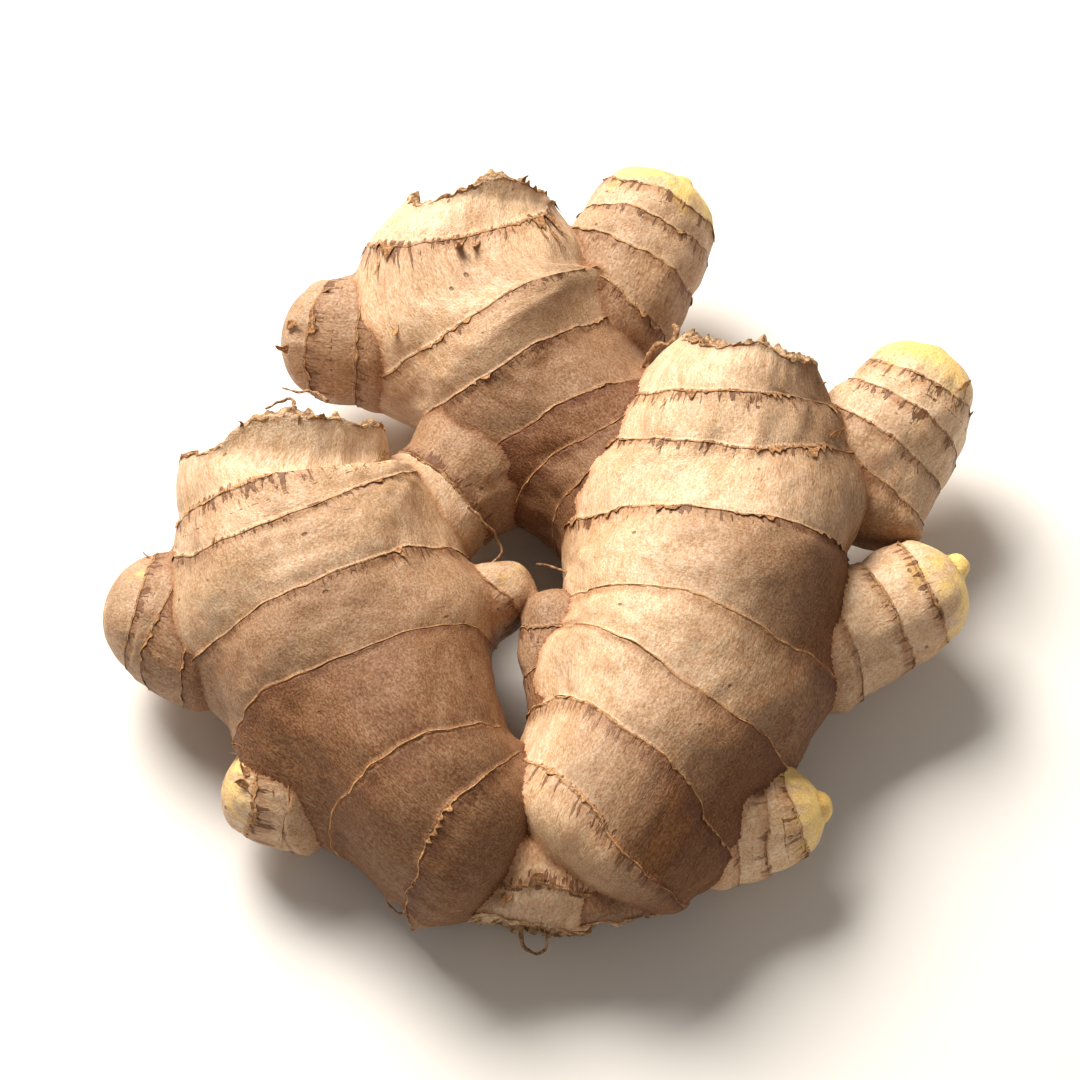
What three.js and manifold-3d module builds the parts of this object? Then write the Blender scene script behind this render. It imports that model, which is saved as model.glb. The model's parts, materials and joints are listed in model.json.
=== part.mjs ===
// Ginger root: a fresh rhizome that grew in one piece and lies on its underside.
// Millimetres, +Z up, origin under the middle of the rhizome on the surface it lies on.
// Three thick lobes, each ending in a broken scar where a neighbour or a stem came away,
// carry short fingers that end in blunt growing tips. Leaf-scale rings go round each limb.
import * as THREE from "three";
import { mergeVertices } from "three/addons/utils/BufferGeometryUtils.js";
import Module from "manifold-3d";

// Each limb is an oval carried along a bent centre line. A station is a point of that
// line with the full width across it and the full height: [x, y, z, across, upright].
// A ring is where a leaf scale grew: [distance along the line, slant, lean]. Slant moves
// the ring's right side towards the tip, and lean moves its top towards the tip. A knob is
// a stump that stands up from a broken rim: [angle round the limb, height in mm, half width].
const LIMBS = [
  {
    name: "left_lobe", end: "scar", cap: 9, rim: [3, 0], knob: [1.5, 6, 1.1],
    stations: [
      [-3, -59, 14, 24, 26], [-13, -52, 17, 30, 34], [-21, -42, 19, 35, 38],
      [-28, -29, 19, 43, 39], [-34, -14, 21, 46, 40], [-39.7, -1, 24, 43, 37],
      [-42.2, 7.5, 27.5, 39, 33], [-42.2, 12, 30.4, 32.5, 26.5],
    ],
    rings: [[12, 1, 1], [20, -3, 3], [40, -1, 1], [57, 1, -1], [76, 2, -5], [82.5, 4, -1]],
  },
  {
    name: "right_lobe", end: "scar", cap: 9, rim: [1, 0],
    stations: [
      [7, -61, 13, 26, 26], [12, -52, 17, 34, 34], [18, -40, 19, 38, 38],
      [25, -27, 20, 43, 40], [28, -14, 21, 46, 40], [30, -3, 23, 45, 39],
      [33, 7, 26, 39, 35], [34, 16, 29, 35, 30], [35, 23, 32, 31, 26], [37, 29, 36, 23, 20],
    ],
    rings: [[10, -4, 0], [18, -4, 4], [35, -2, -2], [47, -2, -1.5], [66, 3, 0], [83, 0, -4], [92, 2, -2]],
  },
  {
    name: "top_lobe", end: "scar", cap: 9, rim: [1, -1], knob: [1.3, 5, 0.6],
    stations: [
      [24, 1, 18, 30, 30], [16.5, 11, 18, 30, 30], [9, 20.5, 18, 32, 32], [1, 29, 18, 36, 36],
      [-5.5, 37.5, 19.5, 40.5, 38.5], [-9.5, 45, 22.5, 42, 38], [-11, 51, 26, 38, 34],
      [-10.5, 57, 29.5, 33, 29], [-10, 62.5, 33, 25, 22],
    ],
    rings: [[13, -1, 0], [19.5, -3, -1], [28, -6, -3], [42, -3, -3], [57.5, 4, -3], [72.5, 5, -3]],
  },
  {
    name: "bridge", end: "bud", cap: 5,
    stations: [[-6, 21, 18, 21, 20], [-14, 12, 17, 19, 22], [-23, 1, 17, 17, 20]],
    rings: [[15, 0, 1]],
  },
  {
    name: "finger_top_left", end: "bud", cap: 6,
    stations: [[-21, 39, 20, 20, 19], [-29, 40.5, 20, 20, 20], [-36, 41.5, 20, 20, 20], [-44.5, 44, 19, 16, 17]],
    rings: [[10, 0, 0], [17, 0, 0]],
  },
  {
    name: "finger_top_right", end: "bud", cap: 6,
    stations: [[9, 41, 17.5, 21, 19], [14.5, 50, 21, 24, 24], [19, 60, 23, 23, 24], [24.5, 72, 27, 18, 18]],
    rings: [[9, -1, 0], [16, 0, 0], [24, 1, 0], [30, -1, 0]],
  },
  {
    name: "finger_right_upper", end: "bud", cap: 6,
    stations: [[52, 3, 18, 23, 20], [58, 15, 20, 23, 22], [64, 24, 22, 23, 22], [70, 35, 26, 17, 17]],
    rings: [[9, -2, 0], [17, 0, -1], [24, -1, 0], [30, 0, 0]],
  },
  {
    name: "finger_right_middle", end: "bud", cap: 6,
    stations: [[43, -24, 16, 18, 20], [52, -17, 16, 18, 20], [61, -12, 17, 18, 19], [72, -6, 20, 15, 15]],
    rings: [[10, -2, 0], [20, 0, 0], [28, -1, 0]],
  },
  {
    name: "finger_right_lower", end: "bud", cap: 5,
    stations: [[24, -54, 13, 16, 18], [31, -51, 13, 16, 18], [38, -49, 14, 16, 17], [47, -47, 16, 12, 13]],
    rings: [[8, -1, 1], [15, -2, 1], [20, 0, 0]],
  },
  {
    name: "finger_left", end: "bud", cap: 6,
    stations: [[-49, -21, 17, 21, 20], [-57, -17, 17, 21, 21], [-64, -13, 17, 20, 20], [-73, -11, 18, 15, 16]],
    rings: [[8, 2, 0], [13.5, 1, 0], [20, 0, 0]],
  },
  {
    name: "finger_left_lower", end: "bud", cap: 5,
    stations: [[-33, -48, 13, 16, 18], [-39, -45, 13, 17, 18], [-45, -44, 14, 16, 17], [-51, -41, 15, 12, 13]],
    rings: [[8, 3, 2], [14, 1, 0]],
  },
  {
    name: "bud_left", end: "bud", cap: 4,
    stations: [[-18, -20, 19, 11, 12], [-12, -15, 20, 12, 13], [-6, -11, 22, 11, 12], [-2, -7, 24, 7, 8]],
    rings: [[9.5, 0, 0], [15, 1, 0]],
  },
  {
    name: "bud_right", end: "bud", cap: 4,
    stations: [[9, -35, 19, 12, 12], [5, -29, 20, 12, 12], [3, -21, 21, 11, 11], [4, -11, 23, 8, 8]],
    rings: [[11, 0, 0], [18, 0, 0]],
  },
  {
    name: "stub_left", end: "scar", cap: 3, rim: [0, 0],
    stations: [[-14, -56, 10, 12, 12], [-18, -60, 9, 10, 10], [-22, -62, 8, 8, 7]],
    rings: [[6, 0, 0]],
  },
  {
    name: "stub_base", end: "scar", cap: 4, rim: [0, 0],
    stations: [[1, -53, 12, 25, 24], [-1, -60, 11, 23, 21], [-2, -66, 9, 17, 15]],
    rings: [[9, 1, 0]],
  },
  {
    name: "stub_right", end: "scar", cap: 4, rim: [0, 0],
    stations: [[11, -53, 12, 23, 22], [12, -60, 11, 21, 20], [13, -65, 9, 16, 14]],
    rings: [[7.5, -1, 0]],
  },
  {
    name: "nub_top_right", end: "bud", cap: 2,
    stations: [[25.5, 68.5, 27, 5, 5], [27, 71.5, 28, 4, 4]],
    rings: [],
  },
  {
    name: "nub_right_upper", end: "bud", cap: 2.5,
    stations: [[68, 30, 26, 9, 9], [69, 35, 28.5, 6, 6]],
    rings: [],
  },
  {
    name: "nub_right_middle", end: "bud", cap: 2,
    stations: [[69, -7, 20, 5, 5], [73, -4, 21.5, 4, 4]],
    rings: [],
  },
  {
    name: "nub_right_lower", end: "bud", cap: 2,
    stations: [[45, -48, 16, 6, 6], [48.5, -47.5, 17, 4, 4]],
    rings: [],
  },
];

const THICK = 23; // a limb wider than this is a lobe or a main stub, mm
const LOBE_COLUMNS = 26; // facets round a lobe
const FINGER_COLUMNS = 14; // facets round a finger
const NUB_COLUMNS = 8; // facets round a nub of a growing tip
const NUB_WIDE = 9.5; // the widest nub, mm
const LOBE_STEP = 6; // length of a facet along a lobe, mm
const FINGER_STEP = 4.5; // length of a facet along a finger, mm
const CAP_ROWS = 3; // rows of facets over a rounded end
const SPLINE_STEPS = 24; // steps of the fine centre line between two stations
const SQUARE = 0.92; // 1 is an ellipse, less is a little fuller at its corners
const BUD_FULL = 0.85; // 1 is a half ellipsoid tip, less is a blunter one
const RING_ROWS = [-1.6, -0.1, 0.5]; // rows of facets at a ring: foot, edge and groove, mm
const LIP_RISE = 1.8; // length over which a ring swells towards its edge, mm
const LIP_FALL = 0.35; // length over which the edge drops to the groove, mm
const LIP_HEIGHT = [0.4, 0.6]; // height of a ring's edge on a finger and a lobe, mm
const GROOVE = 0.35; // depth of the groove past a ring, mm
const GROOVE_LENGTH = 1.2; // length over which the groove runs out, mm
const BARREL = 0.05; // how much the limb swells between two rings, of their distance
const BARREL_MOST = 0.9; // most of that swelling, mm
const BLEND_MOST = 9; // reach of the soft web between two limbs, mm
const BLEND_SHARE = 0.8; // the same reach as a share of the thinner limb's radius
// lumps of a limb: turns round it, wave length along it in mm, height as a share of its radius
const LUMPS = [[2, 55, 0.035], [3, 38, 0.025], [4, 26, 0.014], [1, 30, 0.02]];
// wander of a ring: turns round the limb and size in mm on a lobe
const WANDER = [[2, 0.5], [5, 0.3]];
const WANDER_FINGER = 0.5; // the same wander on a finger, as a share
// ragged edge of a broken scar: turns round the rim, its size falls with the turns
const RAG_TURNS = [3, 5, 7];
const RAG = [1.2, 2.2]; // size of the ragged edge on a stub and a lobe, mm
const RAG_WIDE = 26; // a limb wider than this has a lobe's ragged edge, mm
// face of a broken scar from the rim inwards: [height past the rim in mm, share of the radius]
const SCAR_FACE = [[0, 1], [0.4, 0.9], [-1.4, 0.7], [-2, 0.36]];
const SCAR_MIDDLE = -1.6; // height of the middle of the scar, mm
const SCAR_ROUGH = 0.7; // roughness of the scar's face, mm
const SCAR_FADE = 3; // length over which lumps and rings fade out before a scar, mm
const SCAR_INSET = 1; // the last body row stays this far from the rim, mm
const RING_CLEAR = 0.62; // an even row nearer to a ring than this share of a step is left out
const CAP_CLEAR = 0.2; // a ring's row nearer to a cap than this is left out, mm
const CAP_SKIPPED = 0.6; // share of a cap that the distance between limbs leaves out
const LINE_STRIDE = 6; // centre line points from one that the distance looks at to the next
// unevenness of a ring's edge: its mean, then [turns round the limb, size, first draw]
const UNEVEN_MEAN = 0.75;
const UNEVEN = [[3, 0.3, 300], [7, 0.2, 320]];
// first numbers of the draws for the rings' wander, the rim, the lumps and the scar's face
const DRAW_WANDER = 20;
const DRAW_RIM = 100;
const DRAW_LUMPS = 200;
const DRAW_SCAR = 40;

// A repeatable number from 0 to 1 for two whole numbers.
function draw(i, k) {
  const v = Math.sin(i * 12.9898 + k * 78.233) * 43758.5453;
  return v - Math.floor(v);
}

const clamp = (v, low, high) => Math.min(high, Math.max(low, v));

// Catmull-Rom curve through the stations, with the frame and the half sizes at each point.
function centreLine(stations) {
  const last = stations.length - 1;
  const mirrored = (p, q) => p.map((v, k) => 2 * v - q[k]);
  const p = [
    mirrored(stations[0], stations[1]),
    ...stations,
    mirrored(stations[last], stations[last - 1]),
  ];
  const rows = [];
  for (let i = 0; i < last; i++) {
    for (let k = 0; k < SPLINE_STEPS; k++) {
      const t = k / SPLINE_STEPS;
      rows.push(p[i].map((a, m) => {
        const b = p[i + 1][m];
        const c = p[i + 2][m];
        const d = p[i + 3][m];
        const square = 2 * a - 5 * b + 4 * c - d;
        const cube = 3 * b - a - 3 * c + d;
        return 0.5 * (2 * b + (c - a) * t + square * t * t + cube * t * t * t);
      }));
    }
  }
  rows.push(stations[last]);
  const points = rows.map((r) => new THREE.Vector3(r[0], r[1], r[2]));
  let s = 0;
  return rows.map((r, i) => {
    if (i > 0) s += points[i].distanceTo(points[i - 1]);
    const along = points[Math.min(i + 1, rows.length - 1)].clone()
      .sub(points[Math.max(i - 1, 0)]).normalize();
    const side = along.clone().cross(new THREE.Vector3(0, 0, 1)).normalize();
    const up = side.clone().cross(along);
    return { s, centre: points[i], along, side, up, across: r[3] / 2, upright: r[4] / 2 };
  });
}

// The centre line's values at distance s, straight on past either end.
function lineAt(line, s) {
  const end = line[line.length - 1];
  let i = 0;
  while (i < line.length - 2 && line[i + 1].s < s) i++;
  const a = line[i];
  const b = line[i + 1];
  const t = clamp((s - a.s) / (b.s - a.s), 0, 1);
  const over = Math.max(s - end.s, 0) + Math.min(s, 0);
  return {
    centre: a.centre.clone().lerp(b.centre, t).addScaledVector(s > 0 ? end.along : line[0].along, over),
    side: a.side.clone().lerp(b.side, t),
    up: a.up.clone().lerp(b.up, t),
    along: a.along.clone().lerp(b.along, t),
    across: a.across + (b.across - a.across) * t,
    upright: a.upright + (b.upright - a.upright) * t,
  };
}

const parts = LIMBS.map((limb, index) => {
  const line = centreLine(limb.stations);
  const length = line[line.length - 1].s;
  const widest = Math.max(...limb.stations.map((p) => p[3]));
  return { ...limb, key: index + 1, line, length, widest, thick: widest > THICK };
});

// How far ring i of a limb strays from a plain hoop at angle a.
function ringShift(limb, i, a) {
  const [, slant, lean] = limb.rings[i];
  const size = limb.thick ? 1 : WANDER_FINGER;
  let shift = slant * Math.cos(a) + lean * Math.sin(a);
  WANDER.forEach(([turns, high], k) => {
    shift += size * high * Math.sin(turns * a + 2 * Math.PI * draw(limb.key, DRAW_WANDER * k + i + 1));
  });
  return shift;
}

// How far the broken rim of a scar strays from a plain hoop at angle a.
function rimShift(limb, a) {
  const high = limb.widest > RAG_WIDE ? RAG[1] : RAG[0];
  let shift = limb.rim[0] * Math.cos(a) + limb.rim[1] * Math.sin(a);
  for (const turns of RAG_TURNS) {
    shift += (high / turns) * Math.sin(turns * a + 2 * Math.PI * draw(limb.key, DRAW_RIM + turns));
  }
  if (limb.knob) {
    const [angle, height, width] = limb.knob;
    shift += height * Math.exp(-((Math.atan2(Math.sin(a - angle), Math.cos(a - angle)) / width) ** 2));
  }
  return shift;
}

// The stray of the surface at distance s and angle a, shared out between rings and rim.
function shiftAt(limb, s, a) {
  const knots = [[0, 0], ...limb.rings.map((r, i) => [r[0], ringShift(limb, i, a)])];
  knots.push([limb.length, limb.end === "scar" ? rimShift(limb, a) : 0]);
  let i = 0;
  while (i < knots.length - 2 && knots[i + 1][0] < s) i++;
  const t = clamp((s - knots[i][0]) / (knots[i + 1][0] - knots[i][0]), 0, 1);
  return knots[i][1] + (knots[i + 1][1] - knots[i][1]) * t;
}

// Height of lumps, barrel swelling and ring edges over the plain oval.
function relief(limb, s, a, radius) {
  let high = 0;
  LUMPS.forEach(([turns, wave, share], k) => {
    const phase = 2 * Math.PI * (s / wave + draw(limb.key, DRAW_LUMPS + k));
    high += share * radius * Math.sin(turns * a + phase);
  });
  const knots = [0, ...limb.rings.map((r) => r[0]), limb.length];
  for (let i = 0; i + 1 < knots.length; i++) {
    const gap = knots[i + 1] - knots[i];
    if (s > knots[i] && s < knots[i + 1]) {
      high += Math.min(BARREL_MOST, BARREL * gap) * Math.sin(Math.PI * (s - knots[i]) / gap);
    }
  }
  limb.rings.forEach(([ring], i) => {
    const x = s - ring;
    let uneven = UNEVEN_MEAN;
    for (const [turns, size, first] of UNEVEN) {
      uneven += size * Math.sin(turns * a + 2 * Math.PI * draw(limb.key, first + i));
    }
    const lip = (limb.thick ? LIP_HEIGHT[1] : LIP_HEIGHT[0]) * uneven;
    if (x <= 0) high += lip * Math.exp(x / LIP_RISE);
    else high += (lip + GROOVE) * clamp(1 - x / LIP_FALL, 0, 1) - GROOVE * Math.exp(-x / GROOVE_LENGTH);
  });
  const fade = limb.end === "scar" ? SCAR_FADE : limb.cap;
  return high * clamp(s / limb.cap, 0, 1) * clamp((limb.length - s) / fade, 0, 1);
}

// Signed distance from a point to a limb's plain oval, near enough for the soft webs.
function distanceTo(limb, p) {
  let best = null;
  let nearest = Infinity;
  const skipped = limb.cap * CAP_SKIPPED;
  for (let i = 0; i < limb.line.length; i += LINE_STRIDE) {
    const row = limb.line[i];
    if (row.s < skipped || row.s > limb.length - skipped) continue;
    const d = row.centre.distanceToSquared(p);
    if (d < nearest) {
      nearest = d;
      best = row;
    }
  }
  if (!best) return Infinity;
  const off = p.clone().sub(best.centre);
  const ratio = Math.hypot(
    off.dot(best.side) / best.across,
    off.dot(best.up) / best.upright,
    off.dot(best.along) / limb.cap,
  );
  return ratio < 1e-6 ? -best.across : off.length() * (1 - 1 / ratio);
}

// Height of the soft web that joins a point of one limb to its neighbours.
function web(limb, p) {
  let high = 0;
  for (const other of parts) {
    if (other === limb) continue;
    const reach = Math.min(BLEND_MOST, BLEND_SHARE * Math.min(limb.widest, other.widest) / 2);
    const d = Math.abs(distanceTo(other, p));
    if (d < reach) high = Math.max(high, (reach - d) ** 2 / (4 * reach));
  }
  return high;
}

// Rows of a limb from its base to its end, as [distance along it, share of the radius].
function profile(limb, step) {
  const rows = [];
  for (let k = 1; k <= CAP_ROWS; k++) {
    const q = (Math.PI / 2) * (k / CAP_ROWS);
    rows.push([limb.cap * (1 - Math.cos(q)), Math.sin(q)]);
  }
  const bodyEnd = limb.length - (limb.end === "bud" ? limb.cap : SCAR_INSET);
  const clear = (s) => limb.rings.every((r) => Math.abs(s - r[0]) > step * RING_CLEAR);
  const body = [];
  for (let s = limb.cap + step; s < bodyEnd - step / 2; s += step) {
    if (clear(s)) body.push(s);
  }
  for (const ring of limb.rings) {
    for (const x of RING_ROWS) body.push(ring[0] + x);
  }
  body.sort((a, b) => a - b);
  for (const s of body) {
    if (s > limb.cap + CAP_CLEAR && s < bodyEnd - CAP_CLEAR) rows.push([s, 1]);
  }
  if (limb.end === "bud") {
    for (let k = 0; k < CAP_ROWS; k++) {
      const q = (Math.PI / 2) * (k / CAP_ROWS);
      rows.push([limb.length - limb.cap * (1 - Math.sin(q)), Math.cos(q) ** BUD_FULL]);
    }
  } else {
    for (const [past, share] of SCAR_FACE) rows.push([limb.length + past, share]);
  }
  return rows;
}

// The outside of one limb as a closed mesh.
function limbSolid(limb, wasm) {
  const nub = limb.widest < NUB_WIDE;
  const columns = nub ? NUB_COLUMNS : limb.thick ? LOBE_COLUMNS : FINGER_COLUMNS;
  const rows = profile(limb, limb.thick ? LOBE_STEP : FINGER_STEP);
  const points = [];
  rows.forEach(([s, share], i) => {
    for (let j = 0; j < columns; j++) {
      const a = (2 * Math.PI * j) / columns;
      const at = lineAt(limb.line, s + shiftAt(limb, s, a));
      const inner = limb.end === "scar" && s > limb.length - SCAR_FADE && share < 1;
      const rough = inner ? SCAR_ROUGH * (2 * draw(limb.key * DRAW_SCAR + i, j) - 1) : 0;
      const high = relief(limb, s, a, (at.across + at.upright) / 2);
      const cos = Math.sign(Math.cos(a)) * Math.abs(Math.cos(a)) ** SQUARE;
      const sin = Math.sign(Math.sin(a)) * Math.abs(Math.sin(a)) ** SQUARE;
      const p = at.centre.clone()
        .addScaledVector(at.side, (at.across * share + high) * cos)
        .addScaledVector(at.up, (at.upright * share + high) * sin)
        .addScaledVector(at.along, rough);
      const out = at.side.clone().multiplyScalar(cos).addScaledVector(at.up, sin).normalize();
      if (!inner) p.addScaledVector(out, web(limb, p) * share);
      points.push(p);
    }
  });
  const first = limb.line[0];
  const tip = limb.line[limb.line.length - 1];
  points.push(first.centre.clone());
  points.push(tip.centre.clone().addScaledVector(tip.along, limb.end === "scar" ? SCAR_MIDDLE : 0));
  const faces = [];
  for (let i = 0; i + 1 < rows.length; i++) {
    for (let j = 0; j < columns; j++) {
      const k = (j + 1) % columns;
      const a = i * columns + j;
      const b = i * columns + k;
      const c = a + columns;
      const d = b + columns;
      faces.push(a, c, d, a, d, b);
    }
  }
  const base = points.length - 2;
  const top = (rows.length - 1) * columns;
  for (let j = 0; j < columns; j++) {
    const k = (j + 1) % columns;
    faces.push(base, j, k, base + 1, top + k, top + j);
  }
  return new wasm.Manifold(new wasm.Mesh({
    numProp: 3,
    vertProperties: new Float32Array(points.flatMap((p) => [p.x, p.y, p.z])),
    triVerts: new Uint32Array(faces),
  }));
}

// The space under the surface that the rhizome lies on; it presses the underside flat.
const TABLE = [200, 200, 20]; // mm
function tableSolid(wasm) {
  const box = new THREE.BoxGeometry(...TABLE).translate(0, 0, -TABLE[2] / 2);
  box.deleteAttribute("normal");
  box.deleteAttribute("uv");
  const closed = mergeVertices(box);
  return new wasm.Manifold(new wasm.Mesh({
    numProp: 3,
    vertProperties: new Float32Array(closed.attributes.position.array),
    triVerts: new Uint32Array(closed.index.array),
  }));
}

const wasm = await Module();
wasm.setup();

let solid = limbSolid(parts[0], wasm);
for (const limb of parts.slice(1)) solid = solid.add(limbSolid(limb, wasm));
solid = solid.subtract(tableSolid(wasm));

const joined = solid.getMesh();
const geometry = new THREE.BufferGeometry()
  .setAttribute("position", new THREE.BufferAttribute(new Float32Array(joined.vertProperties), 3))
  .setIndex(new THREE.BufferAttribute(new Uint32Array(joined.triVerts), 1));
geometry.computeBoundingBox();
const { min, max } = geometry.boundingBox;
geometry.translate(-(min.x + max.x) / 2, -(min.y + max.y) / 2, -min.z);
geometry.computeVertexNormals();

const skin = new THREE.MeshStandardMaterial({ color: "#b08a66", roughness: 0.7, metalness: 0 });
const rhizome = new THREE.Mesh(geometry, skin);
rhizome.name = "rhizome";

const group = new THREE.Group();
group.add(rhizome);
export default group;
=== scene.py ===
import functools
import json
import math

import bpy
import numpy as np
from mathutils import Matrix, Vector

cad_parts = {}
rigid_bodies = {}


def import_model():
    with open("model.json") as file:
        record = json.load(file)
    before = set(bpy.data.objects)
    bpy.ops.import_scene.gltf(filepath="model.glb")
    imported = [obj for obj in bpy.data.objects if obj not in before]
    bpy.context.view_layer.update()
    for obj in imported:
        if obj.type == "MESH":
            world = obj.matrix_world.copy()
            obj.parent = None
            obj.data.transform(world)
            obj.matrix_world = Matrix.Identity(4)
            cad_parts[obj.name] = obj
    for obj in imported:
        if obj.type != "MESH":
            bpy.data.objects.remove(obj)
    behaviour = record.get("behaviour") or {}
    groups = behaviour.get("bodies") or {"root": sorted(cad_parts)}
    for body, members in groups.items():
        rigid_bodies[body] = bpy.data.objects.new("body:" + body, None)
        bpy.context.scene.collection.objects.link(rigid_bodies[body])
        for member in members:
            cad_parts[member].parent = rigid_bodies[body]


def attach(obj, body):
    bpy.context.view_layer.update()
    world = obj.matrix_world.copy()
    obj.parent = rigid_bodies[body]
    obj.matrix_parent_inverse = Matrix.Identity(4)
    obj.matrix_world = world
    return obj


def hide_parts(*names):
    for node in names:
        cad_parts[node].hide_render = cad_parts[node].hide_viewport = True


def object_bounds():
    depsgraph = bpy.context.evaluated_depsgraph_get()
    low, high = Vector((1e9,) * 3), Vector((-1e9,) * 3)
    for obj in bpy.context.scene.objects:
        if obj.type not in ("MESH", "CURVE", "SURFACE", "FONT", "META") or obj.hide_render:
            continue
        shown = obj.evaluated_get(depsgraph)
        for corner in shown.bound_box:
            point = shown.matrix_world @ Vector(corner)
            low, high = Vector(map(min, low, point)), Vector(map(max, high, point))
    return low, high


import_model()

MM = 0.001
CAD_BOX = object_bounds()
# The source centres the rhizome on its box, which moves every station by this much, mm
SHIFT = np.array([-1.3677, -2.2353, 0.0])
TAU = 2 * math.pi

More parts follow.
